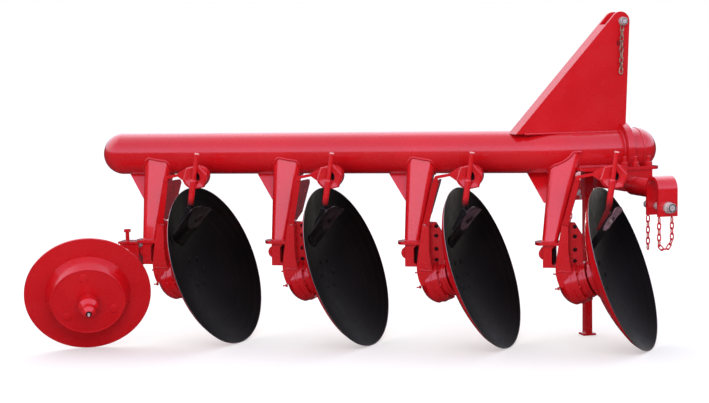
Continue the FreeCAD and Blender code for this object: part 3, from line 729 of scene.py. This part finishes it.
def greaseNipple(form, spot, out):
    # six-sided base, thin neck and round head
    place = axisPlace(spot, out)
    form.hexagon(place, nipple["across"], -nipple["sink"], nipple["base"])
    form.turned(place, nipple["profile"], 18)


noseTop = wheelSpot + wheelAxis * wheel["noseTop"]
form = Form()
greaseNipple(form, noseTop - wheelAxis * 0.001, wheelAxis)
form.piece("wheel_nipple", zincPlate, "furrow_wheel", 40)
# a dark ring round the nipple at the hub's end
form = Form()
form.turned(axisPlace(noseTop, wheelAxis), wheel["darkRing"], 32)
form.piece("wheel_dark_ring", darkPartsAndShadeBlack, "furrow_wheel", 40)
print("furrow wheel dressed")


# bands are of distance behind the disc and radius, and the band's profile starts from that radius
carrier = {"bolts": 8, "boltCircle": 0.0762, "boltAcross": 0.011, "boltHigh": 0.006, "front": 0.168,
           "bands": ((0.150, 0.0700), (0.196, 0.0820)),
           "band": ((-0.003, -0.005), (0.0022, -0.004), (0.0028, 0.0), (0.0022, 0.004), (-0.003, 0.005)),
           "nipples": (((-0.249, -0.104, 0.232), (-1, -0.1, -0.1)),
                       ((-0.255, -0.104, 0.288), (-1, -0.1, 0.1))),
           "weldSide": 0.1285, "weldSize": 0.0030,
           "weld": ((-0.252, 0.300), (-0.236, 0.304), (-0.220, 0.300), (-0.203, 0.302)),
           "holeBack": 0.188, "holeSide": 0.066, "holes": (0.472, 0.434, 0.382, 0.338),
           "plug": ((0.0078, 0.0), (0.0078, 0.0105), (0.0060, 0.0120), (0, 0.0120))}
# layers are of half width, half height and depth, the outline is in shares of those halves
notchPaintedShade = {"spot": (-0.2695, -0.046, 0.3555), "tip": 0.0105,
           "layers": ((0.0073, 0.0293, 0.0), (0.0073, 0.0293, 0.008), (0.0060, 0.0280, 0.010)),
           "outline": ((-1, -0.92), (-0.7, -1), (0.7, -1), (1, -0.92), (1, 0.92), (0.7, 1), (-0.7, 1),
                       (-1, 0.92))}
for n in units:
    place = unitPlace(n)
    spot = discSpots[n - 1]
    form = Form()
    for k in range(carrier["bolts"]):
        rim = axisPlace(spot - discAxis * carrier["front"], discAxis, tau * k / carrier["bolts"] + 0.2)
        head = axisPlace(rim @ Vector((carrier["boltCircle"], 0, 0)), discAxis)
        form.hexagon(head, carrier["boltAcross"], -0.001, carrier["boltHigh"])
    for back, radius in carrier["bands"]:
        ring = axisPlace(spot - discAxis * back, discAxis)
        form.turned(ring, [(radius + proud, height) for proud, height in carrier["band"]], 64)
    form.piece(f"carrier_bolts_{n}", castRed, "frame", 40)
    form = Form()
    for root, way in carrier["nipples"]:
        greaseNipple(form, place @ Vector(root), beamTurn @ Vector(way))
    form.piece(f"carrier_nipples_{n}", redPaint, "frame", 40)
    form = Form()
    route = [place @ Vector((x, -carrier["weldSide"], z)) for x, z in carrier["weld"]]
    weld(form, route, carrier["weldSize"])
    form.piece(f"carrier_welds_{n}", weldRed, "frame", 60)
    across, up, out = (beamTurn @ Vector(way) for way in ((1, 0, 0), (0, 0, 1), (0, -1, 0)))
    # dark bolts in the web's holes
    form = Form()
    for height in carrier["holes"]:
        hole = place @ Vector((-carrier["holeBack"], -carrier["holeSide"], height))
        form.turned(axisPlace(hole, out), carrier["plug"], 20)
    form.piece(f"carrier_plugs_{n}", darkPartsAndShadeBlack, "frame", 40)
    # painted shade: a dark plate fills the notch between the yoke and the carrier
    form = Form()
    spot = place @ Vector(notchPaintedShade["spot"])
    rings = []
    for width, height, depth in notchPaintedShade["layers"]:
        rings.append([spot + across * width * x + up * height * z + out * depth
                      for x, z in notchPaintedShade["outline"]])
    rings.append([spot + out * notchPaintedShade["tip"]])
    form.skin(rings)
    form.piece(f"yoke_notch_painted_shade_{n}", darkPartsAndShadeBlack, "frame", 40)
print("carriers dressed")

# the disc is part of a ball of radius "curve", cut off at its rim
discBolt = {"bolts": 6, "circle": 0.058, "curve": 0.600, "rim": 0.330,
            "head": ((0.0125, -0.001), (0.0125, 0.0002), (0.0100, 0.0009), (0.006, 0.0012), (0, 0.0013))}
blackEnamel = makeBlack()
ballHeight = sqrt(discBolt["curve"] ** 2 - discBolt["rim"] ** 2)
for n in units:
    form = Form()
    for k in range(discBolt["bolts"]):
        turn = tau * k / discBolt["bolts"]
        radius = discBolt["circle"]
        depth = ballHeight - sqrt(discBolt["curve"] ** 2 - radius ** 2)
        head = axisPlace(discSpots[n - 1], discAxis, turn) @ Vector((radius, 0, depth))
        normal = (discSpots[n - 1] + discAxis * ballHeight - head).normalized()
        form.turned(axisPlace(head, normal), discBolt["head"], 24)
    form.piece(f"disc_bolts_{n}", blackEnamel, f"disc_{n}", 50)
print("disc bolts made")

# the end's profile is in shares of the stem's radius
stem = {"top": (-0.026, -0.249, 0.774), "foot": (-0.058, -0.256, 0.556), "radius": 0.009,
        "end": ((1.01, -0.004), (1.03, -0.001), (0.9, 0.0006), (0, 0.0010)),
        "weld": ((0.0085, 0.006), (0.0112, 0.003), (0.0126, -0.001), (0.0122, -0.006))}
scraperShift = {1: 0.0, 2: 0.0, 3: 0.003, 4: 0.003}
# rims are of share and side, the eye's rings of half width, half height, x, z and side
scraperRing = {"x": -0.038, "z": 0.678, "reach": 0.052, "turn": 12, "points": 60,
               "rims": ((1.0, 0.2260), (1.0, 0.2450), (0.90, 0.2490)),
               "eye": ((0.0240, 0.0270, -0.036, 0.679, 0.2450), (0.0095, 0.0150, -0.029, 0.680, 0.2360),
                       (0.0085, 0.0140, -0.029, 0.680, 0.2160))}
eyeSlot = {"x": -0.029, "z": 0.680, "wide": 0.0090, "tall": 0.0146, "side": 0.2190, "middle": 0.2186,
           "points": 40}
# each unit's lip tone is painted light: a pale pink painted highlight on unit 4, less on unit 3, dark on
# units 1 and 2
bladeLip = {"paintedLightTones": {1: (58, 55, 50), 2: (56, 48, 46), 3: (100, 86, 85), 4: (184, 148, 150)},
            "proud": (0.0014, 0, 0.0004), "back": (-0.0030, 0, 0), "from": 0.46, "span": 0.53, "steps": 24,
            "deepLeast": 0.10, "deepMore": 0.42, "deepSlow": 30,
            "ridgeFrom": 0.26, "ridgeSpan": 0.36, "ridgeSteps": 20, "ridgeProud": 0.0006,
            "ridgeThin": 0.0008, "ridgeMore": 0.0016,
            "edgeFrom": 0.02, "edgeSpan": 0.9, "edgeSteps": 40, "edgeRadius": 0.0011,
            "upper": ((-0.040, -0.322, 0.545), (-0.026, -0.252, 0.563), (-0.006, -0.118, 0.540)),
            "fold": ((-0.056, -0.318, 0.529), (-0.046, -0.248, 0.545), (-0.024, -0.121, 0.523)),
            "lower": ((-0.098, -0.340, 0.464), (-0.117, -0.261, 0.428), (-0.112, -0.187, 0.398))}
# the hole is of radius, low and high, the head of its width across, low and high
bladeBolt = {"out": (0.627, -0.620, -0.471), "paintedLightTone": (196, 184, 170),
             "holeSpot": (-0.0430, -0.1650, 0.5115), "hole": (0.0095, -0.0010, 0.0022),
             "headSpot": (-0.0545, -0.1900, 0.5060), "head": (0.0165, -0.0010, 0.0080)}
# a pale painted highlight for the bolt head on unit 4's blade
boltEndPaintedHighlight = makeLip("boltEndPaintedHighlight", bladeBolt["paintedLightTone"])


def alongEdge(edge, share):
    # point on a curve through the edge's start, middle and end
    start, middle, end = (Vector(p) for p in bladeLip[edge])
    return (start * (2 * share - 1) * (share - 1) + middle * 4 * share * (1 - share)
            + end * share * (2 * share - 1))


for n in units:
    place = unitPlace(n) @ Matrix.Translation((scraperShift[n], 0, 0))
    top = place @ Vector(stem["top"])
    foot = place @ Vector(stem["foot"])
    way = (top - foot).normalized()
    form = Form()
    form.turned(axisPlace(top, way), [(stem["radius"] * share, height) for share, height in stem["end"]], 24)
    form.piece(f"stem_end_{n}", bareEnd, "frame", 40)
    form = Form()
    form.turned(axisPlace(foot + (top - foot) * 0.5, way), stem["weld"], 28)
    form.piece(f"stem_weld_{n}", weldRed, "frame", 60)
    # forged six-sided collar round the ring's eye; the narrow dark slot beside the stem is painted shade
    form = Form()
    angles = [tau * k / scraperRing["points"] for k in range(scraperRing["points"])]
    corners = []
    for a in angles:
        edge = (a - radians(scraperRing["turn"])) % (pi / 3) - pi / 6
        reach = scraperRing["reach"] * cos(pi / 6) / cos(edge)
        corners.append((reach * cos(a), reach * sin(a)))
    rings = []
    for share, side in scraperRing["rims"]:
        rings.append([place @ Vector((scraperRing["x"] + x * share, -side, scraperRing["z"] + z * share))
                      for x, z in corners])
    for wide, tall, x, z, side in scraperRing["eye"]:
        rings.append([place @ Vector((x + wide * cos(a), -side, z + tall * sin(a))) for a in angles])
    form.skin(rings)
    form.piece(f"scraper_collar_{n}", castRed, "frame", 22)
    # painted shade: a dark shallow cone fills the eye's slot, where its hollow lies in shade
    form = Form()
    slot = []
    for k in range(eyeSlot["points"]):
        a = tau * k / eyeSlot["points"]
        slot.append(place @ Vector((eyeSlot["x"] + eyeSlot["wide"] * cos(a), -eyeSlot["side"],
                                    eyeSlot["z"] + eyeSlot["tall"] * sin(a))))
    form.skin([slot, [place @ Vector((eyeSlot["x"], -eyeSlot["middle"], eyeSlot["z"]))]])
    form.piece(f"scraper_eye_painted_shade_{n}", darkPartsAndShadeBlack, "frame", 40)
    # the blade's bent corner as a thin shell, with a ridge on its fold and a bead on its upper edge
    # the lip's tone for this unit is painted light
    lipPaintedLightFinish = makeLip(f"lipEnamelPaintedLight{n}", bladeLip["paintedLightTones"][n])
    form = Form()
    proud, back = Vector(bladeLip["proud"]), Vector(bladeLip["back"])
    rings = []
    for k in range(bladeLip["steps"] + 1):
        share = bladeLip["from"] + bladeLip["span"] * k / bladeLip["steps"]
        fold = alongEdge("fold", share)
        depth = bladeLip["deepLeast"] + bladeLip["deepMore"] * sin(pi * k / bladeLip["deepSlow"]) ** 0.7
        line = [alongEdge("upper", share), fold, fold.lerp(alongEdge("lower", share), depth)]
        rings.append([place @ (p + proud) for p in line] + [place @ (p + back) for p in reversed(line)])
    middles = [sum(ring, Vector()) / len(ring) for ring in (rings[0], rings[-1])]
    form.skin([[middles[0]]] + rings + [[middles[1]]])
    ridge, radii = [], []
    for k in range(bladeLip["ridgeSteps"] + 1):
        along = k / bladeLip["ridgeSteps"]
        spot = alongEdge("fold", bladeLip["ridgeFrom"] + bladeLip["ridgeSpan"] * along)
        ridge.append(place @ (spot + Vector((bladeLip["ridgeProud"], 0, 0))))
        radii.append(bladeLip["ridgeThin"] + bladeLip["ridgeMore"] * sin(pi * along))
    form.tube(ridge, radii, 8)
    steps = bladeLip["edgeSteps"]
    edge = [place @ alongEdge("upper", bladeLip["edgeFrom"] + bladeLip["edgeSpan"] * k / steps)
            for k in range(steps + 1)]
    form.tube(edge, [bladeLip["edgeRadius"]] * (steps + 1), 8)
    form.piece(f"blade_lip_{n}", lipPaintedLightFinish, "frame", 30)
    out = Vector(bladeBolt["out"]).normalized()
    # painted shade: a dark disc on the blade stands in for the shade inside a hole
    form = Form()
    wide, low, high = bladeBolt["hole"]
    hole = axisPlace(place @ Vector(bladeBolt["holeSpot"]), out)
    form.turned(hole, [(0, low), (wide, low), (wide, high), (0, high)], 24)
    form.piece(f"blade_hole_painted_shade_{n}", darkPartsAndShadeBlack, "frame", 30)
    form = Form()
    wide, low, high = bladeBolt["head"]
    form.hexagon(axisPlace(place @ Vector(bladeBolt["headSpot"]), out, 0.4), wide, low, high)
    # only unit 4's bolt head gets the pale painted highlight; the others keep the blade's dark paint
    form.piece(f"blade_bolt_{n}", boltEndPaintedHighlight if n == 4 else bladePaint, "frame", 30)
print("scrapers dressed")


ground = {"half": 40, "drop": 0.0005, "seen": (0.60, 0.64, 0.55, 1), "glow": (0.38, 0.38, 0.38, 1),
          "mirrored": (0.04, 0.035, 0.035, 1), "others": (0.50, 0.47, 0.46, 1)}
floorMesh = bpy.data.meshes.new("floor")
corners = [(x * ground["half"], y * ground["half"], 0) for x, y in ((-1, -1), (1, -1), (1, 1), (-1, 1))]
floorMesh.from_pydata(corners, [], [(0, 1, 2, 3)])
floor = bpy.data.objects.new("floor", floorMesh)
floor.location.z = -ground["drop"]
bpy.context.scene.collection.objects.link(floor)
paleFloor = Finish("paleFloor", Roughness=1.0, Specular_IOR_Level=0.0, Emission_Strength=1.0)
seen = paleFloor.node("ShaderNodeLightPath", out="Is Camera Ray")
mirrored = paleFloor.node("ShaderNodeLightPath", out="Is Glossy Ray")
unseen = paleFloor.blend(mirrored, ground["others"], ground["mirrored"])
paleFloor.feed("Base Color", paleFloor.blend(seen, unseen, ground["seen"]))
paleFloor.feed("Emission Color", paleFloor.blend(seen, (0, 0, 0, 1), ground["glow"]))
floorMesh.materials.append(paleFloor.material)

# sky by height: dark under the horizon, brightest just above it on the camera's side and high up behind
sky = {"strength": 1.0, "turnFrom": -0.15, "turnTo": 0.35,
       "front": ((0.0, (0.05, 0.045, 0.05)), (0.115, (0.06, 0.055, 0.06)), (0.165, (1.40, 1.20, 1.70)),
                 (0.31, (1.25, 1.10, 1.60)), (0.47, (1.00, 0.88, 1.30)), (0.64, (0.80, 0.68, 1.02)),
                 (0.80, (0.70, 0.60, 0.86)), (1.0, (0.70, 0.60, 0.80))),
       "back": ((0.0, (0.05, 0.045, 0.05)), (0.115, (0.06, 0.055, 0.06)), (0.20, (1.2, 1.2, 1.4)),
                (0.64, (1.7, 1.65, 1.9)), (0.85, (1.9, 1.8, 2.1)), (0.95, (1.15, 1.05, 1.35)),
                (1.0, (0.75, 0.65, 0.85)))}
world = bpy.data.worlds.new("studio")
bpy.context.scene.world = world
world.use_nodes = True
tree = world.node_tree
tree.nodes.clear()
coord = tree.nodes.new("ShaderNodeTexCoord")
split = tree.nodes.new("ShaderNodeSeparateXYZ")
tree.links.new(coord.outputs["Generated"], split.inputs[0])


def skyRamp(stops):
    ramp = tree.nodes.new("ShaderNodeValToRGB")
    while len(ramp.color_ramp.elements) < len(stops):
        ramp.color_ramp.elements.new(0.5)
    for stop, (place, colour) in zip(ramp.color_ramp.elements, stops):
        stop.position = place
        stop.color = (*colour, 1)
    tree.links.new(split.outputs["Z"], ramp.inputs[0])
    return ramp.outputs[0]


behind = tree.nodes.new("ShaderNodeMapRange")
behind.inputs["From Min"].default_value = sky["turnFrom"]
behind.inputs["From Max"].default_value = sky["turnTo"]
tree.links.new(split.outputs["Y"], behind.inputs["Value"])
both = tree.nodes.new("ShaderNodeMix")
both.data_type = "RGBA"
tree.links.new(behind.outputs[0], both.inputs[0])
tree.links.new(skyRamp(sky["front"]), both.inputs[6])
tree.links.new(skyRamp(sky["back"]), both.inputs[7])
light = tree.nodes.new("ShaderNodeBackground")
tree.links.new(both.outputs[2], light.inputs["Color"])
light.inputs["Strength"].default_value = sky["strength"]
white = tree.nodes.new("ShaderNodeBackground")
white.inputs["Color"].default_value = (1, 1, 1, 1)
path = tree.nodes.new("ShaderNodeLightPath")
mix = tree.nodes.new("ShaderNodeMixShader")
tree.links.new(path.outputs["Is Camera Ray"], mix.inputs[0])
tree.links.new(light.outputs[0], mix.inputs[1])
tree.links.new(white.outputs[0], mix.inputs[2])
output = tree.nodes.new("ShaderNodeOutputWorld")
tree.links.new(mix.outputs[0], output.inputs[0])


def softbox(name, spot, aim, size, power, colour=(1, 1, 1)):
    # rectangular lamp that the camera doesn't see
    lamp = bpy.data.lights.new(name, "AREA")
    lamp.shape = "RECTANGLE"
    lamp.size, lamp.size_y = size
    lamp.energy = power
    lamp.color = colour
    made = bpy.data.objects.new(name, lamp)
    made.location = spot
    made.rotation_euler = (Vector(aim) - Vector(spot)).to_track_quat("-Z", "Y").to_euler()
    made.visible_camera = False
    bpy.context.scene.collection.objects.link(made)
    return made


def lightOnly(lamp, groupName, nodeStart):
    # the lamp shines on those CAD nodes alone
    group = bpy.data.collections.new(groupName)
    for n in units:
        group.objects.link(nodes[f"{nodeStart}_{n}"])
    lamp.light_linking.receiver_collection = group


for fill in (softbox("frontFill", (-1.0, -5.0, 3.4), (0, 0, 0.5), (4.5, 1.6), 116),
             softbox("lowFill", (-2.6, -4.2, 0.6), (0, 0, 0.45), (2.2, 1.0), 44),
             softbox("backFill", (1.5, 5.0, 3.6), (0, 0, 0.5), (4.5, 1.6), 60)):
    fill.visible_glossy = False

# a low panel that only the legs mirror
panel = softbox("legPanel", (-1.85, -2.6, 0.55), (-0.80, 0, 0.56), (4.2, 0.95), 20, (1.0, 0.84, 1.15))
lightOnly(panel, "legs", "standard")

# a low strip beyond the beam that only the discs mirror, near their rear rims
strip = softbox("discStrip", (2.15, 1.27, 0.20), (0.30, -0.10, 0.50), (2.6, 0.40), 7.0, (1.0, 0.94, 0.88))
lightOnly(strip, "discs", "disc")

shot = {"spot": (-1.7496, -5.8121, 1.1085), "turn": -17.03, "tilt": -5.0, "roll": -0.89, "lens": 78.72}
camera = bpy.data.cameras.new("camera")
camera.lens = shot["lens"]
camera.sensor_width = 36
view = bpy.data.objects.new("camera", camera)
view.matrix_world = (Matrix.Translation(shot["spot"])
                     @ Matrix.Rotation(radians(shot["turn"]), 4, "Z")
                     @ Matrix.Rotation(radians(90 + shot["tilt"]), 4, "X")
                     @ Matrix.Rotation(radians(shot["roll"]), 4, "Z"))
bpy.context.scene.collection.objects.link(view)
bpy.context.scene.camera = view
bpy.context.scene.view_settings.view_transform = "Standard"
print("stage set")
